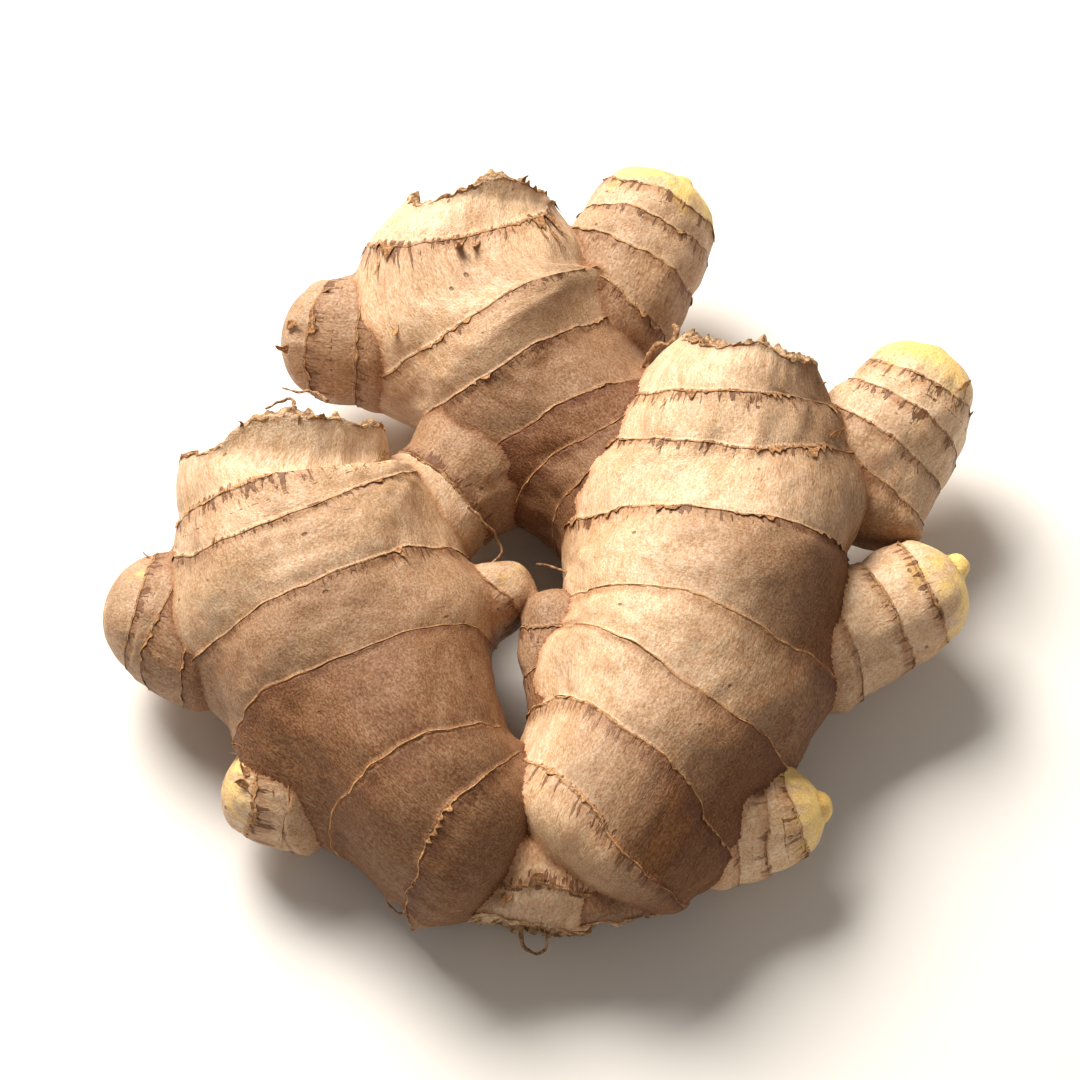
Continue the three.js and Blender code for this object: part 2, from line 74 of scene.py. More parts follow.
# The same limbs as the source has. A station is a point of a limb's centre line with the
# full width and height there: (x, y, z, across, upright). A ring is where a leaf scale grew:
# (distance along the line, slant, lean, share of brown torn remains on it). A tone is how
# light the skin is between two rings, from base to end. shaded is painted shade
# on one side of a limb: the tone is lowered by it times cos of the angle round the limb.
LIMBS = {
    "left_lobe": dict(
        scar=True, cap=9, rim=(3, 0), knob=(1.5, 6, 1.1), shaded=-0.06,
        stations=[
            (-3, -59, 14, 24, 26), (-13, -52, 17, 30, 34), (-21, -42, 19, 35, 38),
            (-28, -29, 19, 43, 39), (-34, -14, 21, 46, 40), (-39.7, -1, 24, 43, 37),
            (-42.2, 7.5, 27.5, 39, 33), (-42.2, 12, 30.4, 32.5, 26.5),
        ],
        rings=[(12, 1, 1, 0.3), (20, -3, 3, 0), (40, -1, 1, 0), (57, 1, -1, 0.35),
               (76, 2, -5, 0.4), (82.5, 4, -1, 0.35)],
        tones=(0.15, 0.15, 0.12, 0.35, 0.7, 0.9, 0.9),
    ),
    "right_lobe": dict(
        scar=True, cap=9, rim=(1, 0), shaded=0.7,
        stations=[
            (7, -61, 13, 26, 26), (12, -52, 17, 34, 34), (18, -40, 19, 38, 38),
            (25, -27, 20, 43, 40), (28, -14, 21, 46, 40), (30, -3, 23, 45, 39),
            (33, 7, 26, 39, 35), (34, 16, 29, 35, 30), (35, 23, 32, 31, 26), (37, 29, 36, 23, 20),
        ],
        rings=[(10, -4, 0, 0.3), (18, -4, 4, 0.2), (35, -2, -2, 0.1), (47, -2, -1.5, 0),
               (66, 3, 0, 0.5), (83, 0, -4, 0.8), (92, 2, -2, 1)],
        tones=(0.75, 0.4, 0.6, 0.75, 0.62, 1.05, 0.95, 0.85),
    ),
    "top_lobe": dict(
        scar=True, cap=9, rim=(1, -1), knob=(1.3, 5, 0.6),
        stations=[
            (24, 1, 18, 30, 30), (16.5, 11, 18, 30, 30), (9, 20.5, 18, 32, 32),
            (1, 29, 18, 36, 36), (-5.5, 37.5, 19.5, 40.5, 38.5), (-9.5, 45, 22.5, 42, 38),
            (-11, 51, 26, 38, 34), (-10.5, 57, 29.5, 33, 29), (-10, 62.5, 33, 25, 22),
        ],
        rings=[(13, -1, 0, 0.1), (19.5, -3, -1, 0.1), (28, -6, -3, 0.2), (42, -3, -3, 0.3),
               (57.5, 4, -3, 0.6), (72.5, 5, -3, 1)],
        tones=(0.15, 0.15, 0.05, 0.25, 0.6, 0.85, 0.95),
    ),
    "bridge": dict(
        cap=5,
        stations=[(-6, 21, 18, 21, 20), (-14, 12, 17, 19, 22), (-23, 1, 17, 17, 20)],
        rings=[(15, 0, 1, 0.5)],
        tones=(0.4, 0.75),
    ),
    "finger_top_left": dict(
        cap=6,
        stations=[(-21, 39, 20, 20, 19), (-29, 40.5, 20, 20, 20), (-36, 41.5, 20, 20, 20),
                  (-44.5, 44, 19, 16, 17)],
        rings=[(10, 0, 0, 0.6), (17, 0, 0, 0.8)],
        tones=(0.35, 0.4, 0.5),
    ),
    "finger_top_right": dict(
        cap=6, yellow=1,
        stations=[(9, 41, 17.5, 21, 19), (14.5, 50, 21, 24, 24), (19, 60, 23, 23, 24),
                  (24.5, 72, 27, 18, 18)],
        rings=[(9, -1, 0, 0.25), (16, 0, 0, 0.2), (24, 1, 0, 0.4), (30, -1, 0, 0.5)],
        tones=(0.4, 0.5, 0.65, 0.8, 0.85),
    ),
    "finger_right_upper": dict(
        cap=6, yellow=1,
        stations=[(52, 3, 18, 23, 20), (58, 15, 20, 23, 22), (64, 24, 22, 23, 22),
                  (70, 35, 26, 17, 17)],
        rings=[(9, -2, 0, 0.2), (17, 0, -1, 0.35), (24, -1, 0, 0.55), (30, 0, 0, 0.4)],
        tones=(0.45, 0.6, 0.85, 1, 0.95),
    ),
    "finger_right_middle": dict(
        cap=6, yellow=0.75,
        stations=[(43, -24, 16, 18, 20), (52, -17, 16, 18, 20), (61, -12, 17, 18, 19),
                  (72, -6, 20, 15, 15)],
        rings=[(10, -2, 0, 0.25), (20, 0, 0, 0.25), (28, -1, 0, 0.35)],
        tones=(0.6, 0.75, 0.9, 0.85),
    ),
    "finger_right_lower": dict(
        cap=5, yellow=0.8,
        stations=[(24, -54, 13, 16, 18), (31, -51, 13, 16, 18), (38, -49, 14, 16, 17),
                  (47, -47, 16, 12, 13)],
        rings=[(8, -1, 1, 0.3), (15, -2, 1, 0.25), (20, 0, 0, 0.35)],
        tones=(1.1, 1.1, 1.1, 1.1),
    ),
    "finger_left": dict(
        cap=6, yellow=0.35,
        stations=[(-49, -21, 17, 21, 20), (-57, -17, 17, 21, 21), (-64, -13, 17, 20, 20),
                  (-73, -11, 18, 15, 16)],
        rings=[(8, 2, 0, 0.3), (13.5, 1, 0, 0.35), (20, 0, 0, 0.35)],
        tones=(0.2, 0.3, 0.45, 0.55),
    ),
    "finger_left_lower": dict(
        cap=5, yellow=0.55,
        stations=[(-33, -48, 13, 16, 18), (-39, -45, 13, 17, 18), (-45, -44, 14, 16, 17),
                  (-51, -41, 15, 12, 13)],
        rings=[(8, 3, 2, 0.35), (14, 1, 0, 0.5)],
        tones=(0.65, 0.7, 0.7),
    ),
    "bud_left": dict(
        cap=4, yellow=0.35,
        stations=[(-18, -20, 19, 11, 12), (-12, -15, 20, 12, 13), (-6, -11, 22, 11, 12),
                  (-2, -7, 24, 7, 8)],
        rings=[(9.5, 0, 0, 0.6), (15, 1, 0, 0.6)],
        tones=(0.75, 0.5, 0.55),
    ),
    "bud_right": dict(
        cap=4, yellow=0.2,
        stations=[(9, -35, 19, 12, 12), (5, -29, 20, 12, 12), (3, -21, 21, 11, 11),
                  (4, -11, 23, 8, 8)],
        rings=[(11, 0, 0, 0.5), (18, 0, 0, 0.7)],
        tones=(0.4, 0.35, 0.3),
    ),
    "stub_left": dict(
        scar=True, cap=3, rim=(0, 0),
        stations=[(-14, -56, 10, 12, 12), (-18, -60, 9, 10, 10), (-22, -62, 8, 8, 7)],
        rings=[(6, 0, 0, 0.8)],
        tones=(0.3, 0.3),
    ),
    "stub_base": dict(
        scar=True, cap=4, rim=(0, 0),
        stations=[(1, -53, 12, 25, 24), (-1, -60, 11, 23, 21), (-2, -66, 9, 17, 15)],
        rings=[(9, 1, 0, 0.9)],
        tones=(0.8, 0.75),
    ),
    "stub_right": dict(
        scar=True, cap=4, rim=(0, 0),
        stations=[(11, -53, 12, 23, 22), (12, -60, 11, 21, 20), (13, -65, 9, 16, 14)],
        rings=[(7.5, -1, 0, 0.8)],
        tones=(0.3, 0.2),
    ),
    "nub_top_right": dict(
        cap=2, yellow=1, rings=[], tones=(0.8,),
        stations=[(25.5, 68.5, 27, 5, 5), (27, 71.5, 28, 4, 4)],
    ),
    "nub_right_upper": dict(
        cap=2.5, yellow=1, rings=[], tones=(0.8,),
        stations=[(68, 30, 26, 9, 9), (69, 35, 28.5, 6, 6)],
    ),
    "nub_right_middle": dict(
        cap=2, yellow=1, rings=[], tones=(0.8,),
        stations=[(69, -7, 20, 5, 5), (73, -4, 21.5, 4, 4)],
    ),
    "nub_right_lower": dict(
        cap=2, yellow=1, rings=[], tones=(0.8,),
        stations=[(45, -48, 16, 6, 6), (48.5, -47.5, 17, 4, 4)],
    ),
}

# The source's forms, mm
THICK = 23  # a limb wider than this is a lobe or a main stub
SPLINE_STEPS = 24
SQUARE = 0.92
BUD_FULL = 0.85
LIP_RISE = 1.8
LIP_FALL = 0.35
LIP_HEIGHT = (0.3, 0.42)
GROOVE = 0.15
GROOVE_LENGTH = 1.2
BARREL = 0.05
BARREL_MOST = 0.9
BLEND_MOST = 9
BLEND_SHARE = 0.8
LUMPS = ((2, 55, 0.035), (3, 38, 0.025), (4, 26, 0.014), (1, 30, 0.02))
WANDER_FINGER = 0.5
RAG_TURNS = (3, 5, 7)
RAG = (1.2, 2.2)
RAG_WIDE = 26
SCAR_FACE = ((0, 1), (0.4, 0.9), (-1.4, 0.7), (-2, 0.36), (-1.6, 0))
SCAR_FADE = 3
# Wander of a ring: turns round the limb and size in mm; the last two are too fine for the source
WANDER = ((2, 0.5), (5, 0.3), (11, 0.16), (23, 0.09))
# Crumbling of a broken rim: turns and height in mm
CRUMBLE = ((9, 0.28), (17, 0.16), (31, 0.08), (53, 0.04))
CRUMBLE_LENGTH = 2.5

# How far apart two limbs' grain coordinates lie, mm, so no two limbs show the same noise
GRAIN_APART = 200.0

# How far young yellow skin reaches back from a growing tip, mm
YELLOW_REACH = 12.0

# How far past a limb's ends the next ring would be, how far a scar's colour reaches back over
# its rim, mm, and how strong it is there
NO_RING = 30.0
SCAR_EDGE = 0.9
SCAR_ON_SKIN = 0.6

# Small forms that only this skin has: height in mm, wave length in mm and where the draws start.
# Folds along a limb are bumps stretched by 1 / FOLD_SQUASH
BUMPS = ((0.13, 7.0, 11), (0.06, 3.4, 12))
FOLDS = (1.0, 2.6, 13)
FOLD_SQUASH = 0.22
FOLD_PLAIN = 0.035
FOLD_NEAR_BASE = 0.07
FOLD_NEAR_TIP = 0.06
SCAR_BUMPS = ((0.45, 3.2, 21), (0.3, 1.7, 22))

# How fine the skin's grid is, mm
LOBE_STEP = 0.86
FINGER_STEP = 0.72
RING_STEP = 0.34
RING_REACH = 1.7
RIM_REACH = 2.5
SCAR_STEP = 0.8
AROUND = 0.9  # the way round a limb over pi times its greatest width
ROOM = 0.01  # what every added point keeps from the solid's box

# Folds between limbs: rounds of edges that the softening reaches, its passes, and the rounds
# and share kept a round as the painted shade spreads from the fold
CREASE_ROUNDS = 5
CREASE_PASSES = 6
FOLD_SHADE_ROUNDS = 26
FOLD_SHADE_KEPT = 0.985

# Leaf-scale remains, mm
EDGE_STEP = 0.4
EDGE_THICK = 0.11
EDGE_ROOT = 0.3
EDGE_RISE = (0.14, 0.26)  # where nothing brown is left of a scale, and how much more where all is
EDGE_LIE = 1.5
RIM_EDGE = (0.7, 0.35, 0.4)  # how brown, rise and lie round a broken rim
FLAKE_ROWS = 9
FLAKE_COLUMNS = 6
FLAKE_THICK = 0.07
ROOTLET_COLUMNS = 8

# Where the random draws of the scale edges, the flakes and the rootlets start
EDGE_SEED = 1000
FLAKE_SEED = 3000
ROOTLET_SEED = 4000

# Torn flakes of each limb: distance along it, angle, way (1 to its end, -1 to its base), width,
# length, curl in radians and how brown it is
FLAKES = {
    "top_lobe": [(72, 1.65, -1, 2.2, 4.5, 2.6, 0.75), (71, 1.5, -1, 1.5, 3.0, 2.0, 0.9),
        (71, 0.66, -1, 1.2, 4.5, 0.9, 1), (71.5, 0.5, -1, 1.0, 3.6, 0.7, 1),
        (71.3, 0.8, -1, 0.9, 3.2, 0.8, 0.9), (70.8, 2.54, -1, 1.0, 2.5, 1.4, 0.8),
        (63, 2.5, -1, 1.6, 3.0, 1.6, 0.5), (77, 0.9, 1, 1.2, 1.8, 1.5, 0.8),
        (77.5, 2.6, 1, 1.0, 1.5, 1.8, 0.8)],
    "left_lobe": [(36, 2.96, 1, 1.0, 3.0, 0.9, 0.9), (34.5, 2.8, 1, 0.8, 2.6, 0.8, 0.8),
        (37, 3.1, 1, 0.9, 2.4, 1.1, 0.9), (57.5, 1.05, -1, 0.9, 3.4, 0.7, 0.9),
        (85, 1.4, 1, 0.9, 1.6, 1.2, 0.8), (85.5, 1.95, 1, 1.1, 1.8, 1.5, 0.8),
        (77.5, 2.3, -1, 0.8, 2.0, 1.0, 0.8), (82.5, 0.9, -1, 0.9, 2.4, 1.0, 0.9)],
    "right_lobe": [(84.5, 0.45, 1, 2.0, 4.0, 2.2, 0.5), (84.8, 0.3, 1, 1.2, 3.0, 1.2, 0.8),
        (95.8, -0.05, 1, 1.5, 3.4, 2.4, 0.8), (35.2, 0.1, -1, 1.4, 3.4, 1.2, 0.8),
        (82.5, 2.2, -1, 0.7, 3.6, 0.6, 0.9), (91, 2.25, -1, 0.7, 3.4, 0.5, 0.9),
        (91, 1.5, -1, 0.6, 2.6, 0.6, 1), (91.2, 1.0, -1, 0.7, 2.4, 0.6, 1),
        (83, 0.9, -1, 0.7, 2.4, 0.5, 1), (82, 1.8, -1, 0.6, 2.2, 0.5, 1)],
    "finger_right_upper": [(30.5, 0.75, 1, 2.4, 3.6, 0.5, 0.2), (28.5, 0.05, 1, 1.4, 3.2, 1.4, 0.9),
        (29.5, 0.8, -1, 1.4, 2.6, 0.8, 0.8)],
    "finger_top_left": [(21, 2.0, -1, 2.2, 3.0, 1.1, 1), (20, 2.5, 1, 1.8, 2.6, 0.9, 0.9),
        (17.5, 1.3, -1, 1.3, 2.4, 0.9, 0.8)],
    "finger_left_lower": [(14, 2.0, 1, 2.2, 3.2, 1.0, 1), (15, 1.7, 1, 1.6, 2.6, 1.1, 1)],
    "bud_right": [(20, 0.6, -1, 1.2, 2.6, 0.9, 0.9)],
    "finger_left": [(20, 0.8, 1, 0.8, 2.4, 1.1, 0.8)],
    "stub_base": [(9, 1.4, 1, 2.0, 3.0, 1.2, 1)],
    "stub_right": [(7.5, 1.8, 1, 1.6, 2.6, 1.2, 0.9)],
}

# Rootlets: radius at the root end, then points from there to the far end
ROOTLETS = (
    (0.55, [(24, 35, 34), (24, 32, 35), (23, 31, 35), (20.5, 30.5, 34), (19, 29.5, 32),
            (16, 27, 29), (15.5, 25, 27), (14, 24, 25), (14.5, 22, 21)]),
    (0.4, [(16, 27, 29), (17.5, 27.5, 30), (19.5, 28, 31)]),
    (0.4, [(14, 24, 25), (15.5, 22.5, 26), (16.5, 21, 24)]),
    (0.3, [(16.5, 26.5, 28), (17, 25, 28), (17, 22.5, 27)]),
    (0.32, [(-11.5, 2, 29), (-8, -0.5, 26), (-6.5, -1.5, 24), (-6, -3, 23), (-6.5, -5, 23),
            (-8.5, -7, 24), (-10, -9.5, 23)]),
    (0.45, [(9, -19, 22), (8.5, -15, 25), (7.5, -12, 26), (7, -10.5, 26), (4.5, -8.5, 25),
            (2.5, -7.5, 25), (0, -7.5, 26)]),
    (0.3, [(5, -9, 25), (7, -12.5, 25), (7.5, -15.5, 24)]),
    (0.35, [(-35, 15, 41), (-37.5, 19, 38), (-40.5, 19.5, 37), (-43, 21, 36)]),
    (0.35, [(-40, 12, 44), (-41.5, 16.5, 40), (-43, 15.5, 40), (-45, 13, 42)]),
    (0.35, [(48.5, -11.5, 22), (51, -10, 23), (55, -6.5, 22), (58.5, -3, 22), (60.5, -1.5, 22)]),
    (0.4, [(-2.5, -66, 10), (-2, -68.5, 7), (0, -69.5, 6), (1.5, -69, 8), (1.5, -66, 10)]),
    (0.35, [(-23.5, -60, 9), (-24.5, -61, 7), (-23, -62, 6), (-20.5, -62.5, 7)]),
)


def draw(i, k):
    """A repeatable number from 0 to 1 for two whole numbers, as the source draws it."""
    v = math.sin(i * 12.9898 + k * 78.233) * 43758.5453
    return v - math.floor(v)


def unit(v):
    return v / np.linalg.norm(v, axis=-1, keepdims=True)


def centre_line(stations):
    """Catmull-Rom curve through the stations, with its two ends mirrored: between b and c it is
    the cubic (2b + (c - a)t + (2a - 5b + 4c - d)t^2 + (3b - a - 3c + d)t^3) / 2. Each of its
    points has a frame: along is the central difference, side is along x Z, up is side x along."""
    p = np.array(stations, float)
    p = np.vstack([2 * p[0] - p[1], p, 2 * p[-1] - p[-2]])
    t = (np.arange(SPLINE_STEPS) / SPLINE_STEPS)[None, :, None]
    a, b, c, d = (p[k:len(p) - 3 + k, None, :] for k in range(4))
    square = 2 * a - 5 * b + 4 * c - d
    cube = 3 * b - a - 3 * c + d
    rows = 0.5 * (2 * b + (c - a) * t + square * t ** 2 + cube * t ** 3)
    rows = np.vstack([rows.reshape(-1, 5), p[-2]])
    centre = rows[:, :3]
    steps = np.linalg.norm(np.diff(centre, axis=0), axis=1)
    last = len(rows) - 1
    ahead = centre[np.minimum(np.arange(last + 1) + 1, last)]
    behind = centre[np.maximum(np.arange(last + 1) - 1, 0)]
    along = unit(ahead - behind)
    side = unit(np.cross(along, [0.0, 0.0, 1.0]))
    return dict(
        s=np.concatenate([[0.0], np.cumsum(steps)]), centre=centre, along=along, side=side,
        up=np.cross(side, along), across=rows[:, 3] / 2, upright=rows[:, 4] / 2,
    )


def line_at(line, s):
    """The centre line's values at distances s by straight steps between its points, and
    straight on past either end."""
    at = {}
    for name in ("centre", "along", "side", "up"):
        v = line[name]
        at[name] = np.stack([np.interp(s, line["s"], v[:, k]) for k in range(3)], -1)
    for name in ("across", "upright"):
        at[name] = np.interp(s, line["s"], line[name])
    over = np.maximum(s - line["s"][-1], 0) + np.minimum(s, 0)
    end = np.where((s > 0)[..., None], line["along"][-1], line["along"][0])
    at["centre"] = at["centre"] + end * over[..., None]
    return at


for number, (limb_name, limb) in enumerate(LIMBS.items()):
    limb["name"] = limb_name
    limb["key"] = number + 1
    limb.setdefault("scar", False)
    limb.setdefault("yellow", 0.0)
    limb.setdefault("shaded", 0.0)
    limb["line"] = centre_line(limb["stations"])
    limb["length"] = limb["line"]["s"][-1]
    limb["knots"] = [0.0] + [r[0] for r in limb["rings"]] + [limb["length"]]
    limb["widest"] = max(p[3] for p in limb["stations"])
    limb["thick"] = limb["widest"] > THICK
    limb["grain_radius"] = 0.42 * limb["widest"]


def ripple(limb, x, k):
    """A sine wave of x whose phase is the limb's k-th draw."""
    return np.sin(x + TAU * draw(limb["key"], k))


def ring_stray(limb, i, a):
    """How far ring i strays from a plain hoop: slant cos a + lean sin a, and sine waves."""
    slant, lean = limb["rings"][i][1:3]
    size = 1 if limb["thick"] else WANDER_FINGER
    stray = slant * np.cos(a) + lean * np.sin(a)
    for k, (turns, high) in enumerate(WANDER):
        stray = stray + size * high * ripple(limb, turns * a, 20 * k + i + 1)
    return stray


def rim_stray(limb, a):
    """How far the broken rim strays from a plain hoop: slant, lean, waves that get smaller as
    their turns grow, and a bell curve where a stump stands up."""
    high = RAG[1] if limb["widest"] > RAG_WIDE else RAG[0]
    stray = limb["rim"][0] * np.cos(a) + limb["rim"][1] * np.sin(a)
    for turns in RAG_TURNS:
        stray = stray + high / turns * ripple(limb, turns * a, 100 + turns)
    if "knob" in limb:
        angle, height, width = limb["knob"]
        off = np.arctan2(np.sin(a - angle), np.cos(a - angle))
        stray = stray + height * np.exp(-(off / width) ** 2)
    return stray


def crumble(limb, a):
    """Sharp teeth of a broken rim: rectified sine waves round it, so the teeth point outwards
    and the valleys stay shallow."""
    size = min(1.0, limb["widest"] / 30)
    teeth = 0
    for turns, high in CRUMBLE:
        wave = ripple(limb, turns * a + 1.7 * np.sin(3 * a), 400 + turns)
        teeth = teeth + high * (1 - 2 * np.abs(wave) ** 0.6)
    return size * teeth


def stray_at(limb, s, a):
    """The stray of the skin at distances s and angles a, shared in straight steps between the
    limb's base, its rings and its end."""
    knots = limb["knots"]
    strays = [0 * a] + [ring_stray(limb, i, a) for i in range(len(limb["rings"]))]
    strays.append(rim_stray(limb, a) if limb["scar"] else 0 * a)
    stray = 0 * (s + a)
    for k in range(len(knots) - 1):
        t = np.clip((s - knots[k]) / (knots[k + 1] - knots[k]), 0, 1)
        inside = (s > knots[k]) & (s <= knots[k + 1])
        stray = np.where(inside, strays[k] + (strays[k + 1] - strays[k]) * t, stray)
    stray = np.where(s > knots[-1], strays[-1], stray)
    if limb["scar"]:
        stray = stray + crumble(limb, a) * np.clip(1 + (s - limb["length"]) / CRUMBLE_LENGTH, 0, 1)
    return stray


def waves(p, count, length, seed):
    """Soft noise of height about 1: the sum of sine waves in count random directions, whose
    wave lengths lie round the given one, over the root of their number."""
    rng = np.random.default_rng(seed)
    ways = unit(rng.normal(size=(count, 3)))
    sizes = TAU / (length * rng.uniform(0.75, 1.35, count))
    phases = rng.uniform(0, TAU, count)
    total = 0
    for way, size, phase in zip(ways, sizes, phases):
        total = total + np.sin(size * (p @ way) + phase)
    return total * math.sqrt(2 / count)


def grain_at(limb, s, a, share):
    """Where a skin point lies in the limb when that is made straight: x and y round the axis, z
    along it. Fibres and folds follow these coordinates."""
    radius = limb["grain_radius"] * share
    grain = np.stack([radius * np.cos(a), radius * np.sin(a), s + 0 * a], -1)
    return grain + GRAIN_APART * limb["key"]


def relief(limb, s, a, radius, share):
    """Height over the plain oval. Lumps are sine waves that wind round the limb; the skin
    swells by a half sine between two rings; a ring rises exponentially to its edge, drops to a
    groove and runs out. Finer bumps and folds along the limb are added, deepest near a
    finger's base and tip."""
    high = 0
    for k, (turns, wave, part) in enumerate(LUMPS):
        phase = TAU * (s / wave + draw(limb["key"], 200 + k))
        high = high + part * radius * np.sin(turns * a + phase)
    knots = limb["knots"]
    for k in range(len(knots) - 1):
        gap = knots[k + 1] - knots[k]
        t = np.clip((s - knots[k]) / gap, 0, 1)
        high = high + min(BARREL_MOST, BARREL * gap) * np.sin(math.pi * t)
    for i, ring in enumerate(limb["rings"]):
        x = s - ring[0]
        uneven = 0.75
        for turns, part, k in ((3, 0.3, 300), (7, 0.2, 320), (29, 0.15, 340)):
            uneven = uneven + part * ripple(limb, turns * a, k + i)
        lip = (LIP_HEIGHT[1] if limb["thick"] else LIP_HEIGHT[0]) * uneven
        before = lip * np.exp(np.minimum(x, 0) / LIP_RISE)
        past = (lip + GROOVE) * np.clip(1 - x / LIP_FALL, 0, 1)
        past = past - GROOVE * np.exp(-np.maximum(x, 0) / GROOVE_LENGTH)
        high = high + np.where(x <= 0, before, past)
    g = grain_at(limb, s, a, share)
    bumps = sum(size * waves(g, 14, wave, seed) for size, wave, seed in BUMPS)
    folds = FOLDS[0] * waves(g * [1, 1, FOLD_SQUASH], 14, *FOLDS[1:])
    near_base = np.exp(-s / 7.0) + (0 if limb["thick"] else 0.6)
    near_tip = np.exp((s - limb["length"]) / 6.0)
    high = high + bumps * (1 if limb["thick"] else 0.8)
    high = high + folds * (FOLD_PLAIN + FOLD_NEAR_BASE * near_base + FOLD_NEAR_TIP * near_tip)
    fade = SCAR_FADE if limb["scar"] else limb["cap"]
    return high * np.clip(s / limb["cap"], 0, 1) * np.clip((limb["length"] - s) / fade, 0, 1)


def distance_to(limb, p):
    """Signed distance from points to a limb's plain oval, near enough for the soft webs:
    |off| (1 - 1 / ratio), off being the way from the nearest point of the centre line and ratio
    its length as a share of the oval's radius that way."""
    line = limb["line"]
    clear = limb["cap"] * 0.6
    keep = (line["s"] >= clear) & (line["s"] <= limb["length"] - clear)
    if not keep.any():
        return np.full(len(p), np.inf)
    spots = line["centre"][keep]
    far = (p ** 2).sum(1)[:, None] + (spots ** 2).sum(1)[None, :] - 2 * p @ spots.T
    best = np.flatnonzero(keep)[far.argmin(1)]
    off = p - line["centre"][best]
    ratio = np.sqrt(
        ((off * line["side"][best]).sum(1) / line["across"][best]) ** 2
        + ((off * line["up"][best]).sum(1) / line["upright"][best]) ** 2
        + ((off * line["along"][best]).sum(1) / limb["cap"]) ** 2
    )
    ratio = np.maximum(ratio, 1e-6)
    return np.linalg.norm(off, axis=1) * (1 - 1 / ratio)


def web_at(limb, p):
    """Height of the soft web that joins a limb to its neighbours: (reach - |d|)^2 / 4 reach
    inside the reach of another limb's surface, the highest where there are several."""
    flat = p.reshape(-1, 3)
    high = np.zeros(len(flat))
    low_corner = flat.min(0)
    high_corner = flat.max(0)
    for other in LIMBS.values():
        if other is limb:
            continue
        reach = min(BLEND_MOST, BLEND_SHARE * min(limb["widest"], other["widest"]) / 2)
        room = reach + other["widest"] / 2 + other["cap"]
        spots = other["line"]["centre"]
        if (spots.max(0) + room < low_corner).any() or (spots.min(0) - room > high_corner).any():
            continue
        d = np.abs(distance_to(other, flat))
        high = np.maximum(high, np.where(d < reach, (reach - d) ** 2 / (4 * reach), 0))
    return high.reshape(p.shape[:-1])


def surface(limb, s, a, share=1.0, lift=0.0):
    """Points of a limb's skin at distances s along it and angles a round it, and the way out:
    centre(s + stray) + side (across share + high) cos^0.92 a + up (upright share + high)
    sin^0.92 a, then outwards by the web and by lift."""
    share = share + 0 * s
    at = line_at(limb["line"], s + stray_at(limb, s, a))
    high = relief(limb, s, a, (at["across"] + at["upright"]) / 2, share)
    cos = np.sign(np.cos(a)) * np.abs(np.cos(a)) ** SQUARE + 0 * s
    sin = np.sign(np.sin(a)) * np.abs(np.sin(a)) ** SQUARE + 0 * s
    inner = (s > limb["length"] - SCAR_FADE) & (share < 1) & limb["scar"]
    p = at["centre"] + at["side"] * ((at["across"] * share + high) * cos)[..., None]
    p = p + at["up"] * ((at["upright"] * share + high) * sin)[..., None]
    out = unit(at["side"] * cos[..., None] + at["up"] * sin[..., None])
    web = np.where(inner, 0, web_at(limb, p) * share)
    p = p + out * (web + lift)[..., None]
    rough = sum(size * waves(p, 16, wave, seed) for size, wave, seed in SCAR_BUMPS)
    p = p + at["along"] * np.where(inner, rough * np.clip((1 - share) * 8, 0, 1), 0)[..., None]
    return p, out


def skin_rows(limb):
    """Distances along a limb and shares of its radius from base to end: a quarter circle over
    the base cap, body rows whose density rises near the rings, then a blunt bud
    (cos^0.85) or the scar's face."""
    step = LOBE_STEP if limb["thick"] else FINGER_STEP
    length = limb["length"]
    cap = limb["cap"]
    bud = not limb["scar"]
    turn = np.linspace(0, math.pi / 2, max(5, int(cap * 1.5 / step)))
    stop = length - (cap if bud else 0)
    fine = np.linspace(cap, stop, 4000)
    close = np.zeros_like(fine)
    for ring in limb["rings"]:
        close = np.maximum(close, (np.abs(fine - ring[0]) < RING_REACH) * 1.0)
    if not bud:
        close = np.maximum(close, (fine > length - RIM_REACH) * 1.0)
    dense = np.where(close > 0, 1 / RING_STEP, 1 / step)
    count = np.concatenate([[0], np.cumsum((dense[1:] + dense[:-1]) / 2 * np.diff(fine))])
    rows = max(3, int(math.ceil(count[-1])))
    body = np.interp(np.linspace(0, count[-1], rows), count, fine)
    s = [cap * (1 - np.cos(turn[1:])), body[1:]]
    share = [np.sin(turn[1:]), np.ones(rows - 1)]
    if bud:
        s.append(length - cap * (1 - np.sin(turn[1:-1])))
        share.append(np.cos(turn[1:-1]) ** BUD_FULL)
    else:
        past, inside = np.array(SCAR_FACE, float).T
        steps = np.linspace(1, 0, max(6, int(limb["widest"] / 2 / SCAR_STEP)))[1:-1]
        s.append(length + np.interp(-steps, -inside, past))
        share.append(steps)
    return np.concatenate(s), np.concatenate(share)


